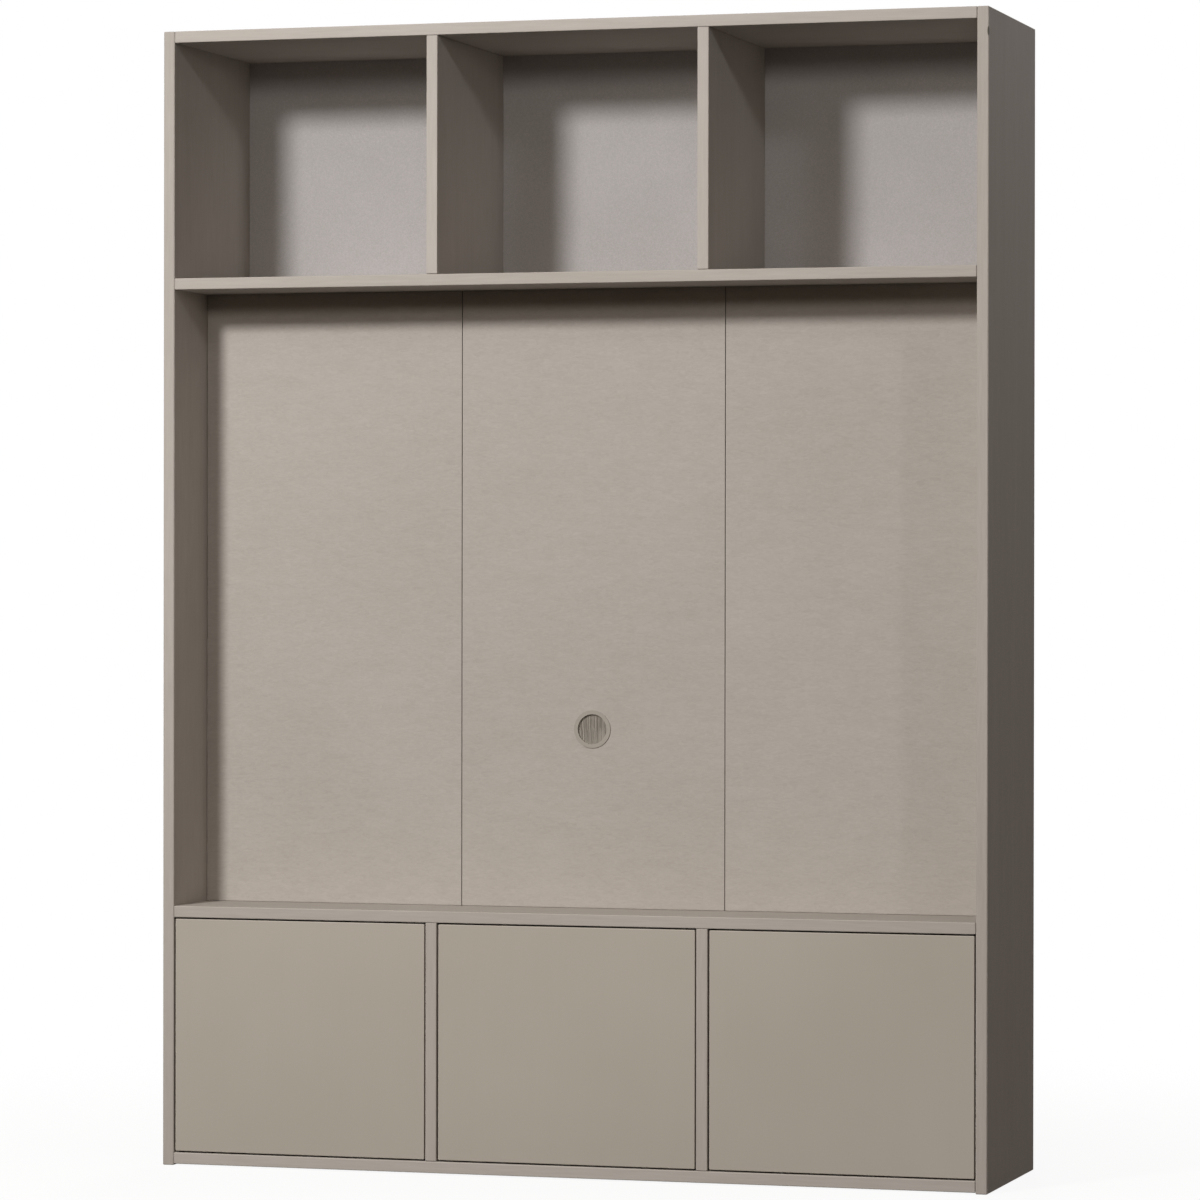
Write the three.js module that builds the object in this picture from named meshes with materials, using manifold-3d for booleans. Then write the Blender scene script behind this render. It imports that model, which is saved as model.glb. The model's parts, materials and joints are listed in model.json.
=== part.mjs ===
// Tv cabinet of lacquered boards: three open bays at the top, one wide shallow niche in the
// middle and three cupboards with push-to-open doors at the foot.
// Millimetres, +Z up, the front faces -Y, the origin is on the floor under the middle.

import * as THREE from 'three';
import { mergeVertices } from 'three/addons/utils/BufferGeometryUtils.js';
import Module from 'manifold-3d';

const wasm = await Module();
wasm.setup();

// Cabinet
const cabinetWidth = 1560;
const cabinetDepth = 400;
const cabinetHeight = 2100;
const bayNames = ['left', 'middle', 'right'];

// Boards
const boardThickness = 21;
const boardEase = 1.5;
const seamGap = 0.2;
const bottomLift = 2.5;
const bayClearHeight = 436;
const cupboardClearHeight = 436;

// Rear panels, let into a rebate down the back of each side
const panelThickness = 4;
const panelEase = 0.4;
const panelMargin = 4;
const rebateWidth = 11;

// Niche back, three boards on two uprights and two cleats
const nicheDepth = 169;
const nicheBoardThickness = 18;
const nicheSeamGap = 0.6;
const cleatDepth = 40;

// Cable ways
const cableHoleRadius = 30;
const cableHoleHeight = 330;
const cableNotchWidth = 80;
const cableNotchDepth = 35;
const cableSlotLength = 80;
const cableSlotWidth = 40;
const cableSlotHeight = 70;
const grommetWall = 2;
const grommetFlange = 5;
const grommetFlangeThickness = 1.5;
const grommetSleeveLength = 15;

// Doors
const doorThickness = 18;
const doorGap = 3;
const doorRecess = 2;
const doorEase = 1.3;
const hingeInset = 80;

// Clearances of the fittings
const seatGap = 0.3;
const runClearance = 0.3;
const cutOverrun = 1;

// Hinges: a cup let into the door, an arm on the carcass and a pinned link between them
const cupRadius = 17.5;
const cupDepth = 11.5;
const cupWall = 1.5;
const cupEdge = 5;
const cupRimWidth = 1.5;
const flangeThickness = 1.2;
const flangeWidth = 22;
const flangeHeight = 62;
const flangeCornerCut = 5;
const plateThickness = 3;
const plateHeight = 50;
const plateLength = 22;
const armHeight = 14;
const armReach = 20;
const armLength = 58;
const armNoseRadius = 4.5;
const armStandOff = 9;
const armShoulderShare = 0.6;
const armBendShares = { outer: 0.55, inner: 0.4 };
const armNoseTurnShare = 0.14;
const linkHeight = 8;
const linkEyeRadius = 4.2;
const linkTipRadius = 2.6;
const linkReach = 9;
const linkGap = 0.6;
const pinRadius = 1.5;
const pinOverhang = 1;

// Push latches: a sprung plunger in a housing under the niche shelf, and its strike plate
const latchInset = 45;
const latchDrop = 14;
const latchLength = 46;
const latchWidth = 13;
const latchFlangeWidth = 32;
const latchFlangeThickness = 2;
const plungerTravel = 3;
const plungerHeadRadius = 4;
const plungerHeadLength = 3;
const plungerRodRadius = 2.5;
const plungerRodLength = 24;
const strikeRadius = 8;
const strikeThickness = 1.2;

// Feet and wall fixing
const glideRadius = 11;
const glideInset = 45;
const bracketWidth = 20;
const bracketLeg = 38;
const bracketThickness = 2;
const bracketHoleRadius = 2.75;
const bracketInset = 120;

// Facets
const easeSegments = 2;
const roundSides = 24;
const smallSides = 12;
const arcSegments = 5;

// Finishes
const lacquer = { color: 0xb4aba0, roughness: 0.55, metalness: 0 };
const doorLacquer = { color: 0xa89f94, roughness: 0.5, metalness: 0 };
const panelPaint = { color: 0xaea8a1, roughness: 0.7, metalness: 0 };
const nickel = { color: 0xb9b8b4, roughness: 0.3, metalness: 1 };
const zinc = { color: 0x9fa2a3, roughness: 0.4, metalness: 1 };
const greyPlastic = { color: 0x8d8a86, roughness: 0.5, metalness: 0 };
const darkPlastic = { color: 0x3b3a38, roughness: 0.6, metalness: 0 };

// Places worked out from the sizes above
const front = -cabinetDepth / 2;
const rear = cabinetDepth / 2;
const innerWidth = cabinetWidth - 2 * boardThickness;
const bayCount = bayNames.length;
const bayWidth = (innerWidth - (bayCount - 1) * boardThickness) / bayCount;
const shelfLength = innerWidth - 2 * seamGap;
const shelfDepth = cabinetDepth - panelThickness - seamGap;
const shelfRear = front + shelfDepth;
const shelfMiddle = (front + shelfRear) / 2;

const cupboardFloor = bottomLift + boardThickness;
const cupboardCeiling = cupboardFloor + cupboardClearHeight;
const nicheFloor = cupboardCeiling + boardThickness;
const topUnderside = cabinetHeight - boardThickness;
const bayFloor = topUnderside - bayClearHeight;
const nicheCeiling = bayFloor - boardThickness;
const nicheMiddle = (nicheFloor + nicheCeiling) / 2;
const nicheBoardHeight = nicheCeiling - nicheFloor - 2 * seamGap;
const nicheBoardPitch = innerWidth / bayCount;
const nicheFace = front + nicheDepth;
const nicheRear = nicheFace + nicheBoardThickness;

const doorBack = front + doorRecess + doorThickness;
const doorWidth = bayWidth - 2 * doorGap;
const doorHeight = cupboardClearHeight - 2 * doorGap;
const doorMiddle = cupboardFloor + cupboardClearHeight / 2;
const hingeHeights = {
  upper: doorMiddle + doorHeight / 2 - hingeInset,
  lower: doorMiddle - doorHeight / 2 + hingeInset,
};
const hingeSides = { left: -1, middle: -1, right: 1 };

const plungerFront = doorBack + seatGap + strikeThickness + seatGap;
const plungerShoulder = plungerFront + plungerHeadLength;
const latchFront = plungerShoulder + plungerTravel + seatGap;
const latchHeight = cupboardCeiling - latchDrop;

// How an outline drawn in x and y, and thickened along z, stands in the cabinet
const alongX = new THREE.Vector3(1, 0, 0);
const alongY = new THREE.Vector3(0, 1, 0);
const alongZ = new THREE.Vector3(0, 0, 1);
const lying = new THREE.Matrix4().makeBasis(alongX, alongY, alongZ);
const endOn = new THREE.Matrix4().makeBasis(alongY, alongZ, alongX);
const facing = new THREE.Matrix4().makeBasis(alongX, alongZ, alongY.clone().negate());

const cabinet = new THREE.Group();

function bayMiddle(index) {
  return (index - (bayCount - 1) / 2) * (bayWidth + boardThickness);
}

function dividerMiddle(index) {
  return (bayMiddle(index) + bayMiddle(index + 1)) / 2;
}

function addPiece(name, geometry, finish, x, y, z) {
  const mesh = new THREE.Mesh(geometry, new THREE.MeshStandardMaterial(finish));
  mesh.name = name;
  mesh.position.set(x, y, z);
  cabinet.add(mesh);
  return mesh;
}

function toSolid(geometry) {
  const plain = geometry.clone();
  plain.deleteAttribute('normal');
  plain.deleteAttribute('uv');
  const merged = mergeVertices(plain);
  return new wasm.Manifold(new wasm.Mesh({
    numProp: merged.attributes.position.itemSize,
    vertProperties: Float32Array.from(merged.attributes.position.array),
    triVerts: Uint32Array.from(merged.index.array),
  }));
}

function toGeometry(solid) {
  const { numProp, vertProperties, triVerts } = solid.getMesh();
  const geometry = new THREE.BufferGeometry();
  geometry.setAttribute('position', new THREE.BufferAttribute(vertProperties, numProp));
  geometry.setIndex(new THREE.BufferAttribute(triVerts, 1));
  geometry.computeVertexNormals();
  return geometry;
}

function join(...geometries) {
  return toGeometry(geometries.map(toSolid).reduce((whole, solid) => whole.add(solid)));
}

function cut(geometry, ...tools) {
  return toGeometry(tools.map(toSolid).reduce((whole, tool) => whole.subtract(tool), toSolid(geometry)));
}

function rectangle(width, height) {
  const halfWidth = width / 2;
  const halfHeight = height / 2;
  return [
    [-halfWidth, -halfHeight],
    [halfWidth, -halfHeight],
    [halfWidth, halfHeight],
    [-halfWidth, halfHeight],
  ];
}

// An outline whose outward corners are cut off by a short bevel
function cornerCutShape(points, cornerCut) {
  const corners = points.map(([x, y]) => new THREE.Vector2(x, y));
  const windingSign = Math.sign(THREE.ShapeUtils.area(corners));
  const outline = corners.flatMap((corner, index) => {
    const back = corners.at(index - 1).clone().sub(corner);
    const ahead = corners[(index + 1) % corners.length].clone().sub(corner);
    const pointsOutward = ahead.cross(back) * windingSign > 0;
    return pointsOutward
      ? [corner.clone().add(back.setLength(cornerCut)), corner.clone().add(ahead.setLength(cornerCut))]
      : [corner];
  });
  return new THREE.Shape(outline);
}

// A closed prism of a shape, centred on its own thickness, with eased edges if asked for
function prism(shape, thickness, stance, ease = 0) {
  const geometry = new THREE.ExtrudeGeometry(shape, {
    depth: thickness - 2 * ease,
    bevelEnabled: ease > 0,
    bevelThickness: ease,
    bevelSize: ease,
    bevelOffset: -ease,
    bevelSegments: easeSegments,
    curveSegments: arcSegments,
  });
  geometry.translate(0, 0, ease - thickness / 2);
  return geometry.applyMatrix4(stance);
}

function board(points, thickness, stance, ease = boardEase) {
  return prism(cornerCutShape(points, ease), thickness, stance, ease);
}

// A round bar along Y, from its front end to its back end
function bar(radius, from, to, sides = roundSides) {
  const geometry = new THREE.CylinderGeometry(radius, radius, to - from, sides);
  return geometry.translate(0, (from + to) / 2, 0);
}

// Sides, full height, each with a rebate down its inner back corner
function buildSide(name, outward) {
  const halfDepth = cabinetDepth / 2;
  const halfThickness = boardThickness / 2;
  const rebateFloor = halfDepth - panelThickness - seamGap;
  const rebateWall = halfThickness - rebateWidth;
  const section = [
    [outward * halfThickness, -halfDepth],
    [outward * halfThickness, halfDepth],
    [-outward * rebateWall, halfDepth],
    [-outward * rebateWall, rebateFloor],
    [-outward * halfThickness, rebateFloor],
    [-outward * halfThickness, -halfDepth],
  ];
  const x = outward * (cabinetWidth - boardThickness) / 2;
  addPiece(name, board(section, cabinetHeight, lying), lacquer, x, 0, cabinetHeight / 2);
}

function buildShelves() {
  const plain = rectangle(shelfLength, shelfDepth);
  const lift = boardThickness / 2;
  const undersides = { top_board: topUnderside, upper_shelf: nicheCeiling, bottom_board: bottomLift };
  Object.entries(undersides).forEach(([name, z]) => {
    addPiece(name, board(plain, boardThickness, lying), lacquer, 0, shelfMiddle, z + lift);
  });
  addPiece('niche_shelf', nicheShelfGeometry(), lacquer, 0, shelfMiddle, cupboardCeiling + lift);
}

// The niche shelf has a cable notch in its back edge over each cupboard
function nicheShelfGeometry() {
  const [frontLeft, frontRight, backRight, backLeft] = rectangle(shelfLength, shelfDepth);
  const backEdge = shelfDepth / 2;
  const notchFloor = backEdge - cableNotchDepth;
  const halfNotch = cableNotchWidth / 2;
  const notches = bayNames.map((name, index) => bayMiddle(index)).reverse().flatMap((x) => [
    [x + halfNotch, backEdge],
    [x + halfNotch, notchFloor],
    [x - halfNotch, notchFloor],
    [x - halfNotch, backEdge],
  ]);
  return board([frontLeft, frontRight, backRight, ...notches, backLeft], boardThickness, lying);
}

function buildDividers(prefix, floor, clearHeight) {
  const height = clearHeight - 2 * seamGap;
  const z = floor + clearHeight / 2;
  ['left', 'right'].forEach((name, index) => {
    const x = dividerMiddle(index);
    const geometry = board(rectangle(shelfDepth, height), boardThickness, endOn);
    addPiece(`${prefix}_divider_${name}`, geometry, lacquer, x, shelfMiddle, z);
  });
}

// Thin panels that close the bays and the cupboards at the back; the niche stays open behind
function buildRearPanels() {
  const width = innerWidth + 2 * (rebateWidth - seamGap);
  const y = rear - panelThickness / 2;
  const upperBottom = nicheCeiling + panelMargin;
  const upperTop = cabinetHeight - panelMargin;
  const upper = board(rectangle(width, upperTop - upperBottom), panelThickness, facing, panelEase);
  addPiece('upper_rear_panel', upper, panelPaint, 0, y, (upperTop + upperBottom) / 2);

  const lowerBottom = bottomLift + panelMargin;
  const lowerTop = nicheFloor - panelMargin;
  const lowerMiddle = (lowerTop + lowerBottom) / 2;
  const plain = board(rectangle(width, lowerTop - lowerBottom), panelThickness, facing, panelEase);
  const slotLevel = cupboardFloor + cableSlotHeight - lowerMiddle;
  const slots = bayNames.map((name, index) => cableSlot().translate(bayMiddle(index), 0, slotLevel));
  addPiece('lower_rear_panel', cut(plain, ...slots), panelPaint, 0, y, lowerMiddle);
}

function cableSlot() {
  const radius = cableSlotWidth / 2;
  const halfStraight = cableSlotLength / 2 - radius;
  const shape = new THREE.Shape();
  shape.absarc(halfStraight, 0, radius, -Math.PI / 2, Math.PI / 2);
  shape.absarc(-halfStraight, 0, radius, Math.PI / 2, Math.PI * 3 / 2);
  return prism(shape, panelThickness + 2 * cutOverrun, facing);
}

function buildNicheBack() {
  const outline = rectangle(nicheBoardPitch - nicheSeamGap, nicheBoardHeight);
  const halfThickness = nicheBoardThickness / 2;
  bayNames.forEach((name, index) => {
    const x = (index - (bayCount - 1) / 2) * nicheBoardPitch;
    const plain = board(outline, nicheBoardThickness, facing);
    const hole = bar(cableHoleRadius, -halfThickness - cutOverrun, halfThickness + cutOverrun);
    hole.translate(0, 0, nicheFloor + cableHoleHeight - nicheMiddle);
    const geometry = name === 'middle' ? cut(plain, hole) : plain;
    addPiece(`niche_back_${name}`, geometry, lacquer, x, nicheFace + halfThickness, nicheMiddle);
  });
}

// Uprights stand behind the two seams of the niche back, cleats behind its outer ends
function buildNicheSupports() {
  const start = nicheRear + seamGap;
  const depth = shelfRear - start;
  const uprightX = nicheBoardPitch / 2;
  const uprightY = start + depth / 2;
  const cleatX = (innerWidth - boardThickness) / 2 - seamGap;
  const cleatY = start + cleatDepth / 2;
  [['left', -1], ['right', 1]].forEach(([name, side]) => {
    const upright = board(rectangle(depth, nicheBoardHeight), boardThickness, endOn);
    addPiece(`niche_upright_${name}`, upright, lacquer, side * uprightX, uprightY, nicheMiddle);
    const cleat = board(rectangle(cleatDepth, nicheBoardHeight), boardThickness, endOn);
    addPiece(`niche_cleat_${name}`, cleat, lacquer, side * cleatX, cleatY, nicheMiddle);
  });
}

// A flanged sleeve that lines the cable hole in the niche back
function buildGrommet() {
  const sleeve = cableHoleRadius - runClearance;
  const bore = sleeve - grommetWall;
  const flange = cableHoleRadius + grommetFlange;
  const flangeFront = -grommetFlangeThickness - seatGap;
  const profile = [
    [bore, flangeFront],
    [flange, flangeFront],
    [flange, -seatGap],
    [sleeve, -seatGap],
    [sleeve, grommetSleeveLength],
    [bore, grommetSleeveLength],
    [bore, flangeFront],
  ].map(([radius, y]) => new THREE.Vector2(radius, y));
  const geometry = new THREE.LatheGeometry(profile, roundSides);
  addPiece('cable_grommet', geometry, greyPlastic, 0, nicheFace, nicheFloor + cableHoleHeight);
}

// Door with two blind bores in its back for the hinge cups
function buildDoor(name, middle, hingeSide) {
  const slab = board(rectangle(doorWidth, doorHeight), doorThickness, facing, doorEase);
  const cupX = hingeSide * (doorWidth / 2 - cupEdge - cupRadius);
  const halfThickness = doorThickness / 2;
  const boreFloor = halfThickness - cupDepth - runClearance;
  const bores = Object.values(hingeHeights).map((height) => {
    const bore = bar(cupRadius + runClearance, boreFloor, halfThickness + cutOverrun);
    return bore.translate(cupX, 0, height - doorMiddle);
  });
  const door = cut(slab, ...bores);
  addPiece(`door_${name}`, door, doorLacquer, middle, doorBack - halfThickness, doorMiddle);
}

// Hinge pieces are drawn for a door hung on its left, from the carcass face (x = 0) and the
// door's back (y = 0) at the hinge's height; a half turn about Y makes the right-hand ones.
function cupGeometry() {
  const cupX = doorGap + cupEdge + cupRadius;
  const rimBack = seatGap + flangeThickness;
  const shell = bar(cupRadius, -cupDepth, rimBack);
  const rim = bar(cupRadius + cupRimWidth, seatGap, rimBack);
  const flangeShape = cornerCutShape(rectangle(flangeWidth, flangeHeight), flangeCornerCut);
  const flange = prism(flangeShape, flangeThickness, facing);
  flange.translate(0, seatGap + flangeThickness / 2, 0);
  const pocket = bar(cupRadius - cupWall, cupWall - cupDepth, rimBack + cutOverrun);
  return cut(join(shell, rim, flange), pocket).translate(cupX, 0, 0);
}

function armGeometry() {
  const shoulder = armReach * armShoulderShare;
  const turn = Math.PI * armNoseTurnShare;
  const shape = new THREE.Shape();
  shape.moveTo(plateThickness / 2, armLength);
  shape.lineTo(plateThickness / 2, armLength * armBendShares.inner);
  shape.absarc(armReach, 0, armNoseRadius, Math.PI + turn, turn);
  shape.lineTo(shoulder, armLength * armBendShares.outer);
  shape.lineTo(shoulder, armLength);
  const arm = prism(shape, armHeight, lying);
  const plateShape = cornerCutShape(rectangle(plateLength, plateHeight), flangeCornerCut);
  const plate = prism(plateShape, plateThickness - seatGap, endOn);
  plate.translate((plateThickness + seatGap) / 2, armLength - plateLength / 2, 0);
  const halfSlot = linkHeight / 2 + runClearance;
  const slot = bar(linkEyeRadius + pinRadius, -halfSlot, halfSlot);
  slot.rotateX(Math.PI / 2).translate(armReach, 0, 0);
  const pinHole = bar(pinRadius + runClearance, -armHeight, armHeight, smallSides);
  pinHole.rotateX(Math.PI / 2).translate(armReach, 0, 0);
  return cut(join(arm, plate), slot, pinHole).translate(0, armStandOff, 0);
}

function linkGeometry() {
  const tipY = flangeThickness + seatGap + linkGap + linkTipRadius - armStandOff;
  const slope = Math.atan2(tipY, linkReach);
  const shape = new THREE.Shape();
  shape.absarc(0, 0, linkEyeRadius, slope + Math.PI / 2, slope - Math.PI / 2);
  shape.absarc(linkReach, tipY, linkTipRadius, slope - Math.PI / 2, slope + Math.PI / 2);
  const tongue = prism(shape, linkHeight, lying);
  const halfPin = armHeight / 2 + pinOverhang;
  const pin = bar(pinRadius, -halfPin, halfPin, smallSides).rotateX(Math.PI / 2);
  return join(tongue, pin).translate(armReach, armStandOff, 0);
}

function buildHinges(name, middle, hingeSide) {
  const x = middle + hingeSide * bayWidth / 2;
  const turn = hingeSide > 0 ? Math.PI : 0;
  const pieces = [
    ['cup', cupGeometry(), nickel],
    ['arm', armGeometry(), nickel],
    ['link', linkGeometry(), zinc],
  ];
  Object.entries(hingeHeights).forEach(([level, height]) => {
    pieces.forEach(([piece, geometry, finish]) => {
      addPiece(`hinge_${piece}_${name}_${level}`, geometry, finish, x, doorBack, height).rotation.y = turn;
    });
  });
}

// Housing: wings against the shelf, a rounded body below them and a blind bore from the front
function latchHousingGeometry() {
  const halfWidth = latchWidth / 2;
  const halfFlange = latchFlangeWidth / 2;
  const top = latchDrop - seatGap;
  const wingUnderside = top - latchFlangeThickness;
  const shape = new THREE.Shape();
  shape.moveTo(-halfFlange, top);
  shape.lineTo(-halfFlange, wingUnderside);
  shape.lineTo(-halfWidth, wingUnderside);
  shape.absarc(0, 0, halfWidth, Math.PI, Math.PI * 2);
  shape.lineTo(halfWidth, wingUnderside);
  shape.lineTo(halfFlange, wingUnderside);
  shape.lineTo(halfFlange, top);
  const housing = prism(shape, latchLength, facing).translate(0, latchLength / 2, 0);
  const bore = bar(plungerRodRadius + runClearance, -cutOverrun, plungerRodLength, smallSides);
  return cut(housing, bore);
}

function plungerGeometry() {
  const head = bar(plungerHeadRadius, 0, plungerHeadLength, smallSides);
  const rod = bar(plungerRodRadius, 0, plungerHeadLength + plungerRodLength, smallSides);
  return join(head, rod);
}

function buildLatch(name, middle, hingeSide) {
  const x = middle - hingeSide * (bayWidth / 2 - latchInset);
  addPiece(`latch_housing_${name}`, latchHousingGeometry(), greyPlastic, x, latchFront, latchHeight);
  addPiece(`latch_plunger_${name}`, plungerGeometry(), darkPlastic, x, plungerFront, latchHeight);
  const strike = bar(strikeRadius, seatGap, seatGap + strikeThickness);
  addPiece(`latch_strike_${name}`, strike, zinc, x, doorBack, latchHeight);
}

function buildCupboardFronts() {
  bayNames.forEach((name, index) => {
    const hingeSide = hingeSides[name];
    buildDoor(name, bayMiddle(index), hingeSide);
    buildHinges(name, bayMiddle(index), hingeSide);
    buildLatch(name, bayMiddle(index), hingeSide);
  });
}

// Thin glides under the bottom board carry it where the cupboard dividers stand
function buildGlides() {
  const height = bottomLift - seamGap;
  const rows = [['front', front + glideInset], ['rear', rear - glideInset]];
  ['left', 'right'].forEach((name, index) => {
    rows.forEach(([row, y]) => {
      const geometry = bar(glideRadius, 0, height, smallSides).rotateX(Math.PI / 2);
      addPiece(`glide_${name}_${row}`, geometry, darkPlastic, dividerMiddle(index), y, 0);
    });
  });
}

// Angle brackets under the upper shelf hold the cabinet back to the wall
function buildWallBrackets() {
  const outline = [
    [0, 0],
    [-bracketLeg, 0],
    [-bracketLeg, -bracketThickness],
    [-bracketThickness, -bracketThickness],
    [-bracketThickness, -bracketLeg],
    [0, -bracketLeg],
  ].map(([y, z]) => new THREE.Vector2(y, z));
  const angle = prism(new THREE.Shape(outline), bracketWidth, endOn);
  const wallHole = bar(bracketHoleRadius, -bracketThickness - cutOverrun, cutOverrun, smallSides);
  const shelfHole = bar(bracketHoleRadius, -cutOverrun, bracketThickness + cutOverrun, smallSides);
  wallHole.translate(0, 0, -bracketLeg / 2);
  shelfHole.rotateX(-Math.PI / 2).translate(0, -bracketLeg / 2, 0);
  const x = innerWidth / 2 - bracketInset;
  [['left', -x], ['right', x]].forEach(([name, place]) => {
    const geometry = cut(angle, wallHole, shelfHole);
    addPiece(`wall_bracket_${name}`, geometry, zinc, place, rear, nicheCeiling - seatGap);
  });
}

buildSide('side_left', -1);
buildSide('side_right', 1);
buildShelves();
buildDividers('upper', bayFloor, bayClearHeight);
buildDividers('lower', cupboardFloor, cupboardClearHeight);
buildRearPanels();
buildNicheBack();
buildNicheSupports();
buildGrommet();
buildCupboardFronts();
buildGlides();
buildWallBrackets();

export default cabinet;
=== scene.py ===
import json
import math
import random

import bmesh
import bpy
from mathutils import Matrix, Vector


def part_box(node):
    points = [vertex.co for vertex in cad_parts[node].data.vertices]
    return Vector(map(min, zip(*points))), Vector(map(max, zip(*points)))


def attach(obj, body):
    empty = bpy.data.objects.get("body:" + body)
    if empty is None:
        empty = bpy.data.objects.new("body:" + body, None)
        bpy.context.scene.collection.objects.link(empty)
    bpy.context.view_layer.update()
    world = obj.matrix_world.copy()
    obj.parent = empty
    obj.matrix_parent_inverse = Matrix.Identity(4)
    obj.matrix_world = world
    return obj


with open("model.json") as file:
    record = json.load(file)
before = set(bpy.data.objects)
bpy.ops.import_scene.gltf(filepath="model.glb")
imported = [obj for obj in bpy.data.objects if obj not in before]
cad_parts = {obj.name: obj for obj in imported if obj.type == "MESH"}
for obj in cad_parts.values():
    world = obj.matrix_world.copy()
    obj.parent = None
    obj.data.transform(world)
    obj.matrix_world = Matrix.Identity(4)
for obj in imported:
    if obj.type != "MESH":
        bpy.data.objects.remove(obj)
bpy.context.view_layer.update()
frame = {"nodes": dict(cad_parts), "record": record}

# Tv cabinet in greige lacquer. Metres, the front faces -Y, the origin is on the floor.

nodes = frame["nodes"]
slotOf = {part["node"]: part["material_slot"] for part in frame["record"]["subparts"]}
bodies = frame["record"]["behaviour"]["bodies"]
bodyOf = {node: body for body, members in bodies.items() for node in members}
print("cabinet loaded:", len(nodes), "nodes")


# Camera, at the photograph's viewing angle

cameraValues = {
    "place": (2.6991, -8.9948, 1.0838),
    "anglesDeg": (89.784, -0.076, 16.674),
    "lensMm": 152.5,
    "sensorMm": 36.0,
    "clip": (0.1, 100.0),
}


def buildCamera(values):
    data = bpy.data.cameras.new("camera")
    data.lens = values["lensMm"]
    data.sensor_width = values["sensorMm"]
    data.clip_start, data.clip_end = values["clip"]
    camera = bpy.data.objects.new("camera", data)
    camera.location = values["place"]
    camera.rotation_euler = [math.radians(angle) for angle in values["anglesDeg"]]
    bpy.context.scene.collection.objects.link(camera)
    bpy.context.scene.camera = camera


buildCamera(cameraValues)
print("camera placed")


# Short ways to the shader nodes that the floor, the room and the finishes share

def addNode(tree, kind, inputs=None, **settings):
    node = tree.nodes.new(kind)
    for name, value in settings.items():
        setattr(node, name, value)
    for name, value in (inputs or {}).items():
        if isinstance(value, bpy.types.NodeSocket):
            tree.links.new(value, node.inputs[name])
        else:
            node.inputs[name].default_value = value
    return node


def combine(tree, operation, first, second):
    return addNode(tree, "ShaderNodeMath", {0: first, 1: second}, operation=operation).outputs[0]


def combineVectors(tree, operation, first, second):
    return addNode(tree, "ShaderNodeVectorMath", {0: first, 1: second},
                   operation=operation).outputs[0]


def lengthOf(tree, vector):
    return addNode(tree, "ShaderNodeVectorMath", {0: vector}, operation="LENGTH").outputs["Value"]


def fade(tree, value, start, end, near, far):
    # near up to start, far from end on, and a smooth step between them
    return addNode(tree, "ShaderNodeMapRange", {
        "Value": value, "From Min": start, "From Max": end, "To Min": near, "To Max": far},
        interpolation_type="SMOOTHSTEP").outputs["Result"]


def mixColour(tree, factor, first, second):
    # a mix node takes its colours at sockets 6 and 7 and gives the mixed one at socket 2
    return addNode(tree, "ShaderNodeMix", {"Factor": factor, 6: first, 7: second},
                   data_type="RGBA").outputs[2]


def mixShader(tree, factor, first, second):
    return addNode(tree, "ShaderNodeMixShader", {0: factor, 1: first, 2: second}).outputs[0]


def seenDirectly(tree):
    # 1 for the camera and for reflections, 0 for the light that falls on the cabinet
    path = addNode(tree, "ShaderNodeLightPath")
    return combine(tree, "MAXIMUM", path.outputs["Is Camera Ray"], path.outputs["Is Glossy Ray"])


# Studio: a soft key from the upper left, a weaker fill near the middle, a faint one from the
# right, a cool one above the right side, one behind for the rear faces, and a pale room

lightValues = {
    "key": {"place": (-1.6, -4.5, 3.28), "aim": (0.0, -0.2, -1.2), "size": 0.7,
            "watts": 226.0, "colour": (1.0, 0.99, 0.975)},
    "fill": {"place": (0.6, -5.55, 2.74), "aim": (0.0, -0.2, 1.15), "size": 0.72,
             "watts": 53.0, "colour": (1.0, 0.955, 0.885)},
    "right": {"place": (4.0, -3.3, 3.4), "aim": (0.0, -0.2, 1.15), "size": 0.35,
              "watts": 23.0, "colour": (0.97, 0.98, 1.0)},
    "side": {"place": (2.3, 0.7, 3.1), "aim": (0.78, 0.0, 2.6), "size": 0.5,
             "watts": 6.7, "colour": (0.877, 0.93, 1.0)},
    "back": {"place": (-0.6, 5.0, 3.6), "aim": (0.0, 0.2, 1.0), "size": 0.8,
             "watts": 120.0, "colour": (1.0, 0.97, 0.93)},
}

white = (1.0, 1.0, 1.0, 1.0)

stageValues = {
    "floorSize": 60.0,
    "floorCells": 8,
    "shadeShare": 0.1,
    "shadeReach": 2.6,
    "floorColour": (0.8, 0.8, 0.8, 1.0),
    "floorBounce": (0.04, 0.033, 0.026, 1.0),
    "roomLight": (1.0, 0.775, 0.59, 1.0),
    "roomStrength": 0.15,
}


def buildSoftLight(name, values):
    data = bpy.data.lights.new(name, "AREA")
    data.shape = "DISK"
    data.size = values["size"]
    data.energy = values["watts"]
    data.color = values["colour"]
    lamp = bpy.data.objects.new(name, data)
    lamp.location = values["place"]
    towards = Vector(values["aim"]) - Vector(values["place"])
    lamp.rotation_euler = towards.to_track_quat("-Z", "Y").to_euler()
    bpy.context.scene.collection.objects.link(lamp)


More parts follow.
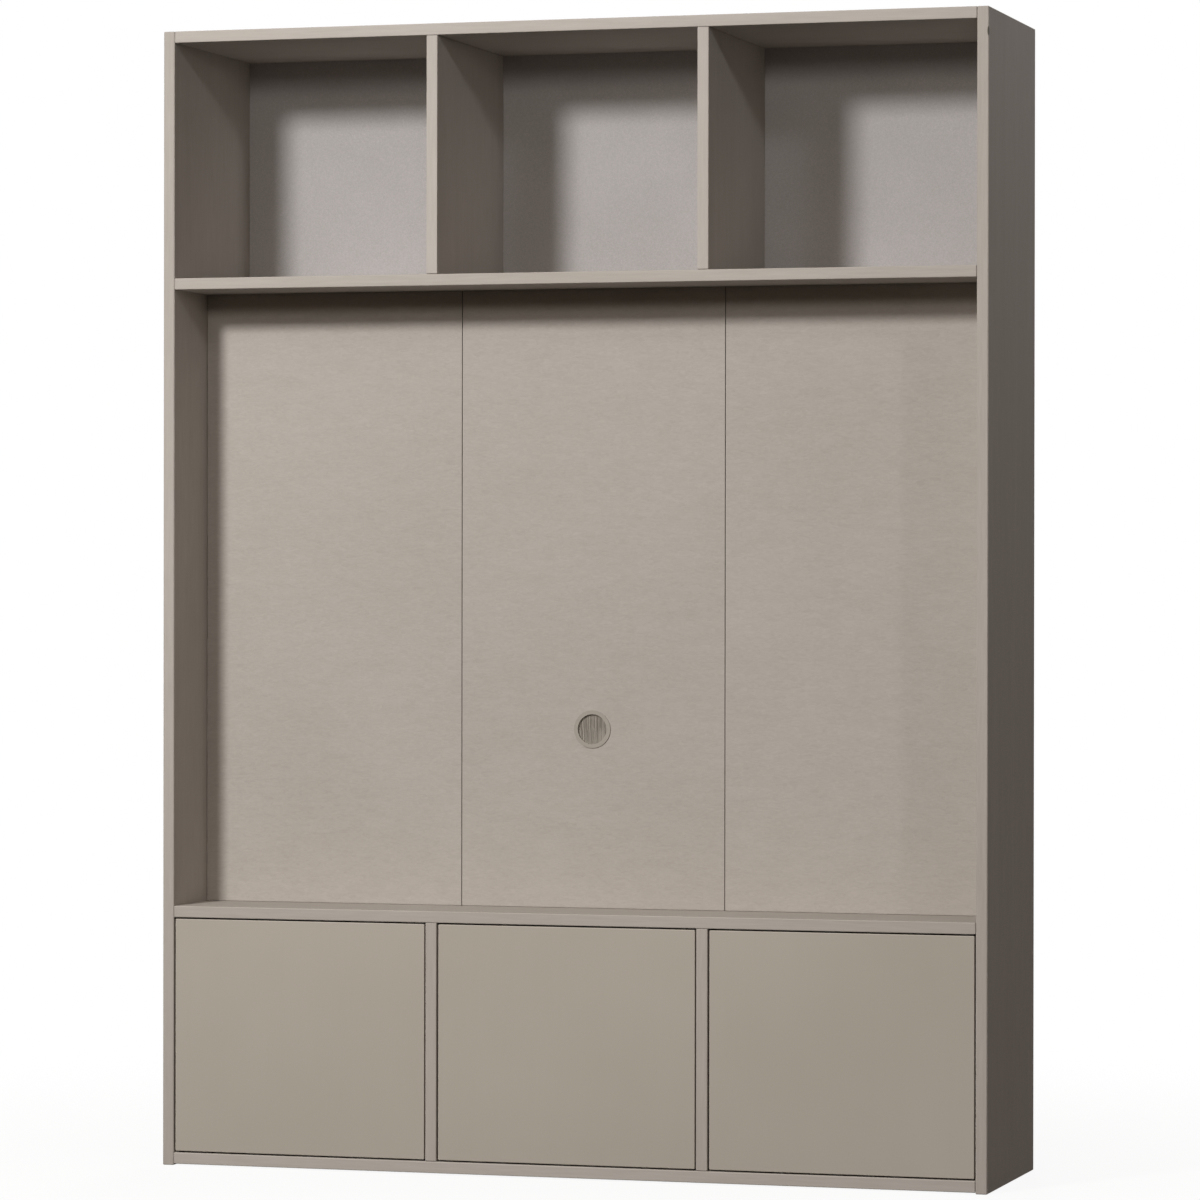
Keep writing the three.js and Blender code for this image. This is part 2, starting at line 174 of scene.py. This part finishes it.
def buildFloor(values):
    floorMesh = bmesh.new()
    bmesh.ops.create_grid(floorMesh, x_segments=values["floorCells"],
                          y_segments=values["floorCells"], size=values["floorSize"] / 2)
    data = bpy.data.meshes.new("floor")
    floorMesh.to_mesh(data)
    floorMesh.free()
    floor = bpy.data.objects.new("floor", data)
    bpy.context.scene.collection.objects.link(floor)
    material = bpy.data.materials.new("pale floor")
    material.use_nodes = True
    tree = material.node_tree
    tree.nodes.clear()
    glow = addNode(tree, "ShaderNodeEmission", {"Color": white, "Strength": 1.0})
    shade = addNode(tree, "ShaderNodeBsdfDiffuse", {"Color": values["floorColour"]})
    away = lengthOf(tree, addNode(tree, "ShaderNodeTexCoord").outputs["Object"])
    near = fade(tree, away, 0.0, values["shadeReach"], values["shadeShare"], 0.0)
    pale = mixShader(tree, near, glow.outputs[0], shade.outputs[0])
    bounce = addNode(tree, "ShaderNodeBsdfDiffuse", {"Color": values["floorBounce"]})
    surface = mixShader(tree, seenDirectly(tree), bounce.outputs[0], pale)
    addNode(tree, "ShaderNodeOutputMaterial", {"Surface": surface})
    data.materials.append(material)


def buildRoom(values):
    world = bpy.data.worlds.new("room")
    bpy.context.scene.world = world
    world.use_nodes = True
    tree = world.node_tree
    tree.nodes.clear()
    pale = addNode(tree, "ShaderNodeBackground", {"Color": white, "Strength": 1.0})
    soft = addNode(tree, "ShaderNodeBackground", {
        "Color": values["roomLight"], "Strength": values["roomStrength"]})
    surface = mixShader(tree, seenDirectly(tree), soft.outputs[0], pale.outputs[0])
    addNode(tree, "ShaderNodeOutputWorld", {"Surface": surface})


for name, values in lightValues.items():
    buildSoftLight(name + " light", values)
buildFloor(stageValues)
buildRoom(stageValues)
bpy.context.scene.view_settings.view_transform = "Standard"
print("studio lit")


# Shared shader groups

noiseValues = {
    "figure": {"Detail": 4.0, "Roughness": 0.55, "Distortion": 1.6},
    "pores": {"Detail": 3.0, "Roughness": 0.6},
    "cloud": {"Detail": 3.0, "Roughness": 0.5},
    "peel": {"Detail": 1.0, "Roughness": 0.4},
    "edgeBreakup": {"Detail": 2.0, "Roughness": 0.5},
    "speck": {"Detail": 3.0, "Roughness": 0.7},
}


def newGroup(name, inputs, outputs):
    # an input given as one number is a float, and one given as three is a vector
    group = bpy.data.node_groups.new(name, "ShaderNodeTree")
    for label, value in inputs.items():
        kind = "NodeSocketFloat" if isinstance(value, float) else "NodeSocketVector"
        socket = group.interface.new_socket(label, in_out="INPUT", socket_type=kind)
        socket.default_value = value
    for label in outputs:
        group.interface.new_socket(label, in_out="OUTPUT", socket_type="NodeSocketFloat")
    given = group.nodes.new("NodeGroupInput").outputs
    result = group.nodes.new("NodeGroupOutput").inputs
    return group, given, result


def addNoise(tree, kind, vector, scale, **inputs):
    return addNode(tree, "ShaderNodeTexNoise", dict(
        noiseValues[kind], Vector=vector, Scale=scale, **inputs)).outputs["Fac"]


def buildGrainGroup():
    # straight grain that runs along Z: broad figure and fine pores under paint
    group, given, result = newGroup("woodGrain", {
        "Vector": (0.0, 0.0, 0.0), "Figure Scale": 9.0, "Pore Scale": 420.0,
        "Stretch": 14.0, "Curl": 0.3}, ["Figure", "Pores"])
    squeeze = combine(group, "DIVIDE", 1.0, given["Stretch"])
    along = addNode(group, "ShaderNodeCombineXYZ", {"X": 1.0, "Y": 1.0, "Z": squeeze})
    flow = combineVectors(group, "MULTIPLY", given["Vector"], along.outputs[0])
    figure = addNoise(group, "figure", flow, given["Figure Scale"])
    pores = addNoise(group, "pores", flow, given["Pore Scale"], Distortion=given["Curl"])
    group.links.new(figure, result["Figure"])
    group.links.new(pores, result["Pores"])
    return group


def buildSprayGroup():
    # sprayed lacquer: slow clouding in tone and the fine orange peel of its skin
    group, given, result = newGroup("sprayedLacquer", {
        "Vector": (0.0, 0.0, 0.0), "Cloud Scale": 3.0, "Peel Scale": 900.0}, ["Cloud", "Peel"])
    cloud = addNoise(group, "cloud", given["Vector"], given["Cloud Scale"])
    peel = addNoise(group, "peel", given["Vector"], given["Peel Scale"])
    group.links.new(cloud, result["Cloud"])
    group.links.new(peel, result["Peel"])
    return group


def depthInBox(group, given):
    # how far inside the Low to High box the point lies, along each axis
    fromLow = combineVectors(group, "SUBTRACT", given["Vector"], given["Low"])
    toHigh = combineVectors(group, "SUBTRACT", given["High"], given["Vector"])
    inside = combineVectors(group, "MINIMUM", fromLow, toHigh)
    return addNode(group, "ShaderNodeSeparateXYZ", {0: inside}).outputs


def combineThree(group, operation, depth):
    return combine(group, operation, combine(group, operation, depth[0], depth[1]), depth[2])


def buildEdgeGroup():
    # how near a point on a board lies to the board's nearest edge, broken up by noise. The point
    # lies on one face, so its distance to the nearest edge is the middle one of the three depths
    group, given, result = newGroup("boardEdge", {
        "Vector": (0.0, 0.0, 0.0), "Low": (-1.0, -1.0, -1.0), "High": (1.0, 1.0, 1.0),
        "Width": 0.003, "Break Scale": 60.0}, ["Edge"])
    depth = depthInBox(group, given)
    lessHigh = combine(group, "SUBTRACT", combineThree(group, "ADD", depth),
                       combineThree(group, "MAXIMUM", depth))
    middle = combine(group, "SUBTRACT", lessHigh, combineThree(group, "MINIMUM", depth))
    near = fade(group, middle, 0.0, given["Width"], 1.0, 0.0)
    edgeBreakup = addNoise(group, "edgeBreakup", given["Vector"], given["Break Scale"])
    group.links.new(combine(group, "MULTIPLY", near, edgeBreakup), result["Edge"])
    return group


def buildSeamGroup():
    # dirt and painted shade, darker where a board's end meets its neighbour
    group, given, result = newGroup("seamShade", {
        "Vector": (0.0, 0.0, 0.0), "Low": (-1.0, -1.0, -1.0), "High": (1.0, 1.0, 1.0),
        "Width": 0.0006}, ["Seam"])
    lowest = combineThree(group, "MINIMUM", depthInBox(group, given))
    group.links.new(fade(group, lowest, 0.0, given["Width"], 1.0, 0.0), result["Seam"])
    return group


def buildSpeckGroup():
    # moulded or pressed surfaces: fine even texture and scattered darker specks
    group, given, result = newGroup("fineSpeck", {
        "Vector": (0.0, 0.0, 0.0), "Speck Scale": 500.0}, ["Speck", "Fleck"])
    speck = addNoise(group, "speck", given["Vector"], given["Speck Scale"])
    cells = addNode(group, "ShaderNodeTexVoronoi", {
        "Vector": given["Vector"], "Scale": given["Speck Scale"]})
    group.links.new(speck, result["Speck"])
    group.links.new(cells.outputs["Distance"], result["Fleck"])
    return group


grainGroup = buildGrainGroup()
sprayGroup = buildSprayGroup()
edgeGroup = buildEdgeGroup()
seamGroup = buildSeamGroup()
speckGroup = buildSpeckGroup()
print("shader groups built")


# Finishes

def placeGroup(tree, group, inputs):
    return addNode(tree, "ShaderNodeGroup", inputs, node_tree=group).outputs


def weighted(tree, terms, start=0.5):
    # start plus the sum of share * (value - 0.5), for values whose middle is 0.5
    total = start
    for value, share in terms:
        centred = combine(tree, "SUBTRACT", value, 0.5)
        total = addNode(tree, "ShaderNodeMath", {0: centred, 1: share, 2: total},
                        operation="MULTIPLY_ADD").outputs[0]
    return total


def linear(hexColour):
    # sRGB as written to the linear light that shaders use
    channels = [int(hexColour[i:i + 2], 16) / 255 for i in (0, 2, 4)]
    return [c / 12.92 if c <= 0.04045 else ((c + 0.055) / 1.055) ** 2.4 for c in channels] + [1.0]


def startMaterial(name):
    material = bpy.data.materials.new(name)
    material.use_nodes = True
    tree = material.node_tree
    tree.nodes.clear()
    shader = addNode(tree, "ShaderNodeBsdfPrincipled")
    addNode(tree, "ShaderNodeOutputMaterial", {"Surface": shader.outputs[0]})
    coords = addNode(tree, "ShaderNodeTexCoord").outputs["Object"]
    return material, tree, shader, coords


def ownColour(tree, values, tone):
    return mixColour(tree, tone, linear(values["dark"]), linear(values["light"]))


def finishShader(tree, shader, values, colour, sheen, height):
    rough = addNode(tree, "ShaderNodeMapRange", {
        "Value": sheen, "To Min": values["roughness"][0], "To Max": values["roughness"][1]})
    bump = addNode(tree, "ShaderNodeBump", {
        "Height": height, "Strength": values["bumpStrength"], "Distance": values["bumpMm"] / 1000})
    tree.links.new(colour, shader.inputs["Base Color"])
    tree.links.new(rough.outputs["Result"], shader.inputs["Roughness"])
    tree.links.new(bump.outputs[0], shader.inputs["Normal"])


lacquerValues = {
    "dark": "a59e97",
    "light": "b6b0aa",
    # light tone for the board edges: wear and a painted highlight on the eased arrises
    "edge": "cbc5bc",
    "edgeWidth": 0.0018,
    "edgeWearAndHighlightShare": 0.55,
    # dark tone for the butted ends: dirt and painted shade in the joints
    "seam": "2b2520",
    "seamDirtAndShadeWidth": 0.0008,
    "seamDirtAndShadeShare": 0.85,
    "figureScale": 11.0,
    "poreScale": 240.0,
    "stretch": 16.0,
    "curl": 0.3,
    "figureShare": 0.7,
    "poreShare": 1.0,
    "cloudShare": 0.5,
    "roughness": (0.56, 0.7),
    "specular": 0.02,
    "bumpMm": 0.12,
    "bumpStrength": 0.35,
    "poreBumpShare": 0.7,
    "peelBumpShare": 0.5,
}

# the doors' edges get a stronger painted highlight along their arrises, together with wear
doorValues = dict(lacquerValues, dark="a9a298", light="b4ada4", edge="d8d1c6", edgeWidth=0.0015,
                  edgeWearAndHighlightShare=1.1, figureShare=0.15, poreShare=0.12, cloudShare=0.9,
                  roughness=(0.5, 0.6), bumpStrength=0.18)

nicheValues = dict(lacquerValues, stretch=3.2, curl=1.3, poreScale=210.0, poreShare=1.3,
                   figureScale=24.0, figureShare=0.45)

# boards that came out a little lighter than the rest
boardTones = {"top_board": 0.28, "bottom_board": 0.3,
              "upper_divider_left": 0.3, "upper_divider_right": 0.3}

# each board is its own piece of wood: its pattern is moved on by this times its place in the list
boardShift = (1.7, 0.9, 2.3)

grainTurns = {"Z": (0.0, 0.0, 0.0), "X": (0.0, -math.pi / 2, 0.0)}

# the ends at which each board butts against a neighbour
seamEnds = {
    "top_board": ("lowX", "highX"),
    "upper_shelf": ("lowX", "highX"),
    "niche_shelf": ("lowX", "highX"),
    "bottom_board": ("lowX", "highX"),
    "upper_divider_left": ("lowZ", "highZ"),
    "upper_divider_right": ("lowZ", "highZ"),
    "lower_divider_left": ("lowZ", "highZ"),
    "lower_divider_right": ("lowZ", "highZ"),
    "niche_back_left": ("highX",),
    "niche_back_middle": ("lowX", "highX"),
    "niche_back_right": ("lowX",),
}
farAway = 9.0

# a small dark mark painted on the front edge of the right side, near its top
darkMarkValues = {
    "board": "side_right",
    "centre": (0.7802, -0.2, 2.056),
    "reach": (0.003, 0.004, 0.0095),
    "fadeFrom": 0.75,
    "fadeTo": 1.1,
    "colour": "4b4a42",
    "share": 0.85,
}


def addDarkMark(tree, coords, colour, values):
    away = combineVectors(tree, "SUBTRACT", coords, values["centre"])
    reach = lengthOf(tree, combineVectors(tree, "DIVIDE", away, values["reach"]))
    inside = fade(tree, reach, values["fadeFrom"], values["fadeTo"], values["share"], 0.0)
    return mixColour(tree, inside, colour, linear(values["colour"]))


def seamBox(node):
    # the board's own box at its butted ends, and far beyond it elsewhere
    low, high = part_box(node)
    own = {"lowX": low.x, "lowZ": low.z, "highX": high.x, "highZ": high.z}
    ends = {"lowX": -farAway, "lowZ": -farAway, "highX": farAway, "highZ": farAway}
    ends.update((end, own[end]) for end in seamEnds[node])
    return (ends["lowX"], -farAway, ends["lowZ"]), (ends["highX"], farAway, ends["highZ"])


def addSeamDirtAndShade(tree, coords, colour, node, values):
    # darkens the colour towards the seam tone along the butted ends: partly dirt, partly painted
    # shade in the joint
    low, high = seamBox(node)
    seam = placeGroup(tree, seamGroup, {
        "Vector": coords, "Low": low, "High": high, "Width": values["seamDirtAndShadeWidth"]})["Seam"]
    caught = combine(tree, "MULTIPLY", seam, values["seamDirtAndShadeShare"])
    return mixColour(tree, caught, colour, linear(values["seam"]))


def makeLacquer(node, grainAxis, values, order):
    material, tree, shader, coords = startMaterial("lacquer " + node)
    low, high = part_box(node)
    turned = addNode(tree, "ShaderNodeMapping", {
        "Vector": coords, "Rotation": grainTurns[grainAxis],
        "Location": [step * order for step in boardShift]}).outputs[0]
    grain = placeGroup(tree, grainGroup, {
        "Vector": turned, "Figure Scale": values["figureScale"],
        "Pore Scale": values["poreScale"], "Stretch": values["stretch"], "Curl": values["curl"]})
    spray = placeGroup(tree, sprayGroup, {"Vector": turned})
    edge = placeGroup(tree, edgeGroup, {
        "Vector": coords, "Low": low, "High": high, "Width": values["edgeWidth"]})
    tone = weighted(tree, [
        (grain["Figure"], values["figureShare"]),
        (grain["Pores"], values["poreShare"]),
        (spray["Cloud"], values["cloudShare"])], 0.5 + boardTones.get(node, 0.0))
    # edges lightened towards the edge tone: partly rubbed wear, partly a painted highlight where
    # the eased arrises catch the light
    wornAndHighlit = combine(tree, "MULTIPLY", edge["Edge"], values["edgeWearAndHighlightShare"])
    colour = mixColour(tree, wornAndHighlit, ownColour(tree, values, tone), linear(values["edge"]))
    if node in seamEnds:
        colour = addSeamDirtAndShade(tree, coords, colour, node, values)
    if node == darkMarkValues["board"]:
        colour = addDarkMark(tree, coords, colour, darkMarkValues)
    height = weighted(tree, [
        (grain["Pores"], values["poreBumpShare"]), (spray["Peel"], values["peelBumpShare"])])
    finishShader(tree, shader, values, colour, spray["Cloud"], height)
    shader.inputs["Specular IOR Level"].default_value = values["specular"]
    return material


panelValues = {
    "dark": "9c9896",
    "light": "bab6b6",
    "middleTone": 0.55,
    "speckScale": 330.0,
    "fleckScale": 420.0,
    "cloudScale": 5.0,
    "speckShare": 1.0,
    "fleckShare": 0.3,
    "cloudShare": 0.5,
    "specular": 0.05,
    "roughness": (0.55, 0.75),
    "bumpMm": 0.15,
    "bumpStrength": 0.3,
}


def makePanelPaint(values):
    material, tree, shader, coords = startMaterial("rear panel paint")
    coarse = placeGroup(tree, speckGroup, {"Vector": coords, "Speck Scale": values["speckScale"]})
    fine = placeGroup(tree, speckGroup, {"Vector": coords, "Speck Scale": values["fleckScale"]})
    spray = placeGroup(tree, sprayGroup, {"Vector": coords, "Cloud Scale": values["cloudScale"]})
    tone = weighted(tree, [
        (coarse["Speck"], values["speckShare"]),
        (fine["Fleck"], values["fleckShare"]),
        (spray["Cloud"], values["cloudShare"])], values["middleTone"])
    finishShader(tree, shader, values, ownColour(tree, values, tone), fine["Speck"], fine["Speck"])
    shader.inputs["Specular IOR Level"].default_value = values["specular"]
    return material


metalCommon = {"drawScale": 900.0, "drawStretch": 20.0, "speckShare": 0.6, "drawShare": 0.5,
               "bumpMm": 0.05, "bumpStrength": 0.15}

metalValues = {
    "nickel": dict(metalCommon, dark="a3a19b", light="c9c7c1", roughness=(0.2, 0.36),
                   speckScale=700.0),
    "zinc": dict(metalCommon, dark="8b8e90", light="b4b7b8", roughness=(0.32, 0.5),
                 speckScale=300.0),
}


def makeMetal(name, values):
    material, tree, shader, coords = startMaterial(name)
    speck = placeGroup(tree, speckGroup, {"Vector": coords, "Speck Scale": values["speckScale"]})
    draw = placeGroup(tree, grainGroup, {
        "Vector": coords, "Pore Scale": values["drawScale"], "Stretch": values["drawStretch"]})
    tone = weighted(tree, [
        (speck["Speck"], values["speckShare"]), (draw["Pores"], values["drawShare"])])
    finishShader(tree, shader, values, ownColour(tree, values, tone), speck["Speck"], draw["Pores"])
    shader.inputs["Metallic"].default_value = 1.0
    return material


plasticCommon = {"speckScale": 1400.0, "cloudScale": 40.0, "speckShare": 0.5, "cloudShare": 0.6,
                 "bumpMm": 0.08, "bumpStrength": 0.25}

plasticValues = {
    "grey_plastic": dict(plasticCommon, dark="8a847b", light="9c958b", roughness=(0.42, 0.58)),
    "dark_plastic": dict(plasticCommon, dark="2f2e2c", light="42403d", roughness=(0.45, 0.65)),
}


def makePlastic(name, values):
    material, tree, shader, coords = startMaterial(name)
    speck = placeGroup(tree, speckGroup, {"Vector": coords, "Speck Scale": values["speckScale"]})
    spray = placeGroup(tree, sprayGroup, {"Vector": coords, "Cloud Scale": values["cloudScale"]})
    tone = weighted(tree, [
        (speck["Speck"], values["speckShare"]), (spray["Cloud"], values["cloudShare"])])
    finishShader(tree, shader, values, ownColour(tree, values, tone),
                 spray["Cloud"], speck["Speck"])
    return material


hardware = {name: makeMetal(name, values) for name, values in metalValues.items()}
hardware.update({name: makePlastic(name, values) for name, values in plasticValues.items()})
hardware["rear_panel"] = makePanelPaint(panelValues)
uprightNames = ("side", "divider", "upright", "cleat")


def finishNode(node, order):
    slot = slotOf[node]
    if node.startswith("niche_back"):
        return makeLacquer(node, "X", nicheValues, order)
    if slot == "lacquered_board":
        axis = "Z" if any(word in node for word in uprightNames) else "X"
        return makeLacquer(node, axis, lacquerValues, order)
    if slot == "lacquered_door":
        return makeLacquer(node, "Z", doorValues, order)
    return hardware[slot]


for order, node in enumerate(sorted(nodes)):
    nodes[node].data.materials.clear()
    nodes[node].data.materials.append(finishNode(node, order))
print("finishes on", len(nodes), "nodes")


# Screws: raised heads with a cross recess, on the hinges, latches and wall brackets

screwValues = {
    "hingeRadius": 0.0034,
    "latchRadius": 0.003,
    "height": 0.0011,
    "recessShare": 0.46,
    "recessDepth": 0.0008,
    "bevel": 0.0003,
    "bevelSegments": 2,
    "cupInset": 0.007,
    "plateInset": 0.008,
    "plateSetback": 0.011,
    "plateThickness": 0.0027,
    "latchInset": (0.0045, 0.01),
    "flangeThickness": 0.002,
}


def vertsIn(items):
    return [item for item in items if isinstance(item, bmesh.types.BMVert)]


def edgesWithin(items, verts):
    return [item for item in items if isinstance(item, bmesh.types.BMEdge)
            and all(vert in verts for vert in item.verts)]


def joinedTo(verts):
    # these vertices and all that edges lead to from them
    linked = {}
    waiting = list(verts)
    while waiting:
        vert = waiting.pop()
        if vert not in linked:
            linked[vert] = True
            waiting.extend(edge.other_vert(vert) for edge in vert.link_edges)
    return list(linked)


def screwHead(mesh, radius, values, place):
    # a 3 by 3 grid whose middle row and column sink to make the cross; a round skirt joins its rim
    half = radius * values["recessShare"]
    made = bmesh.ops.create_grid(mesh, x_segments=3, y_segments=3, size=half)["verts"]
    faces = list(dict.fromkeys(face for vert in made for face in vert.link_faces))
    centres = {face: face.calc_center_median() for face in faces}
    cross = [face for face in faces if min(abs(centres[face].x), abs(centres[face].y)) < half / 3]
    rim = [edge for edge in dict.fromkeys(edge for face in faces for edge in face.edges)
           if edge.is_boundary]
    sunk = vertsIn(bmesh.ops.extrude_face_region(mesh, geom=cross)["geom"])
    bmesh.ops.delete(mesh, geom=cross, context="FACES")
    bmesh.ops.translate(mesh, verts=sunk, vec=(0, 0, -values["recessDepth"]))
    skirt = bmesh.ops.extrude_edge_only(mesh, edges=rim)["geom"]
    ring = vertsIn(skirt)
    for vert in ring:
        vert.co.xy = vert.co.xy.normalized() * radius
    ringEdges = edgesWithin(skirt, ring)
    wall = bmesh.ops.extrude_edge_only(mesh, edges=ringEdges)["geom"]
    foot = vertsIn(wall)
    bmesh.ops.translate(mesh, verts=foot, vec=(0, 0, -values["height"]))
    bmesh.ops.contextual_create(mesh, geom=edgesWithin(wall, foot))
    bmesh.ops.bevel(mesh, geom=ringEdges, offset=values["bevel"], offset_type="OFFSET",
                    affect="EDGES", segments=values["bevelSegments"], profile=0.5, material=-1)
    head = joinedTo(vert for vert in made if vert.is_valid)
    bmesh.ops.translate(mesh, verts=head, vec=(0, 0, values["height"]))
    bmesh.ops.transform(mesh, verts=head, matrix=place)


def addPiece(name, mesh, slot, body):
    bmesh.ops.recalc_face_normals(mesh, faces=mesh.faces)
    data = bpy.data.meshes.new(name)
    mesh.to_mesh(data)
    mesh.free()
    data.materials.append(hardware[slot])
    piece = bpy.data.objects.new(name, data)
    bpy.context.scene.collection.objects.link(piece)
    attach(piece, body)


def facingPlace(point, outward):
    turn = Vector(outward).to_track_quat("Z", "Y").to_matrix().to_4x4()
    return Matrix.Translation(point) @ turn


def addScrews(name, points, outward, radius, slot, body):
    mesh = bmesh.new()
    for point in points:
        screwHead(mesh, radius, screwValues, facingPlace(point, outward))
    addPiece(name, mesh, slot, body)


def hingeScrews(door, level, inward, values):
    # inward is 1 where the door hangs on its left side and -1 where it hangs on its right
    cupLow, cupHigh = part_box(f"hinge_cup_{door}_{level}")
    armLow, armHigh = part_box(f"hinge_arm_{door}_{level}")
    middle = (cupLow.x + cupHigh.x) / 2
    points = [(middle, cupHigh.y, z)
              for z in (cupLow.z + values["cupInset"], cupHigh.z - values["cupInset"])]
    addScrews(f"cup_screws_{door}_{level}", points, (0, 1, 0), values["hingeRadius"], "nickel",
              bodyOf[f"hinge_cup_{door}_{level}"])
    seat = armLow.x if inward == 1 else armHigh.x
    points = [(seat + inward * values["plateThickness"], armHigh.y - values["plateSetback"], z)
              for z in (armLow.z + values["plateInset"], armHigh.z - values["plateInset"])]
    addScrews(f"plate_screws_{door}_{level}", points, (inward, 0, 0), values["hingeRadius"],
              "nickel", "cabinet")


def latchScrews(door, values):
    low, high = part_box(f"latch_housing_{door}")
    insetX, insetY = values["latchInset"]
    points = [(x, y, high.z - values["flangeThickness"])
              for x in (low.x + insetX, high.x - insetX) for y in (low.y + insetY, high.y - insetY)]
    addScrews(f"latch_screws_{door}", points, (0, 0, -1), values["latchRadius"], "zinc", "cabinet")


def bracketScrews(side, values):
    low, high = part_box(f"wall_bracket_{side}")
    point = ((low.x + high.x) / 2, (low.y + high.y) / 2, high.z - values["flangeThickness"])
    addScrews(f"bracket_screw_{side}", [point], (0, 0, -1), values["hingeRadius"], "zinc",
              "cabinet")


for door, inward in (("left", 1), ("middle", 1), ("right", -1)):
    for level in ("upper", "lower"):
        hingeScrews(door, level, inward, screwValues)
    latchScrews(door, screwValues)
for side in ("left", "right"):
    bracketScrews(side, screwValues)
print("screws set")


# Pins that hold the rear panels in their rebates

pinValues = {"radius": 0.0021, "tipShare": 0.7, "height": 0.0005, "pitch": 0.11, "inset": 0.006,
             "sides": 12}


def rearPins(panel, values):
    low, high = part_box(panel)
    mesh = bmesh.new()
    inset = values["inset"]
    width = high.x - low.x - 2 * inset
    rise = high.z - low.z - 2 * inset
    across = round(width / values["pitch"])
    up = round(rise / values["pitch"])
    places = [(low.x + inset + width * i / across, z)
              for i in range(across + 1) for z in (low.z + inset, high.z - inset)]
    places += [(x, low.z + inset + rise * i / up)
               for i in range(1, up) for x in (low.x + inset, high.x - inset)]
    for x, z in places:
        bmesh.ops.create_cone(
            mesh, cap_ends=True, segments=values["sides"], radius1=values["radius"],
            radius2=values["radius"] * values["tipShare"], depth=values["height"],
            matrix=facingPlace((x, high.y - values["height"] / 2, z), (0, 1, 0)))
    addPiece(f"{panel}_pins", mesh, "zinc", "cabinet")


for panel in ("upper_rear_panel", "lower_rear_panel"):
    rearPins(panel, pinValues)
print("rear pins set")


# Brush in the cable grommet: nylon bristles from above and below that cross at the middle

brushValues = {
    "boreRadius": 0.0278,
    "depth": 0.0062,
    "pitch": 0.00052,
    "rows": (-0.0012, 0.0, 0.0012),
    "rootRadius": 0.00036,
    "tipRadius": 0.0003,
    "overlap": 0.004,
    "leastOverlapShare": 0.4,
    "lean": 0.00015,
    "sides": 3,
    "seed": 7,
}


def grommetBrush(values):
    low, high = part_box("cable_grommet")
    middle = (low + high) / 2
    draws = random.Random(values["seed"])
    bore = values["boreRadius"]
    mesh = bmesh.new()
    for row, rowShift in enumerate(values["rows"]):
        for i in range(1, int(2 * bore / values["pitch"])):
            x = (i + row / len(values["rows"])) * values["pitch"] - bore
            reach = math.sqrt(max(bore ** 2 - x * x, 0.0))
            for side in (-1, 1):
                root = Vector((middle.x + x, low.y + values["depth"] + rowShift,
                               middle.z + side * reach))
                leanX = draws.uniform(-1, 1) * values["lean"]
                leanY = draws.uniform(-1, 1) * values["lean"]
                past = draws.uniform(values["leastOverlapShare"], 1) * values["overlap"]
                if reach < values["overlap"]:
                    continue
                tip = Vector((root.x + leanX, root.y + leanY, middle.z - side * past))
                bmesh.ops.create_cone(
                    mesh, cap_ends=True, segments=values["sides"], radius1=values["rootRadius"],
                    radius2=values["tipRadius"], depth=(tip - root).length,
                    matrix=facingPlace((root + tip) / 2, tip - root))
    addPiece("grommet_brush", mesh, "grey_plastic", bodyOf["cable_grommet"])


grommetBrush(brushValues)
print("grommet brush set")
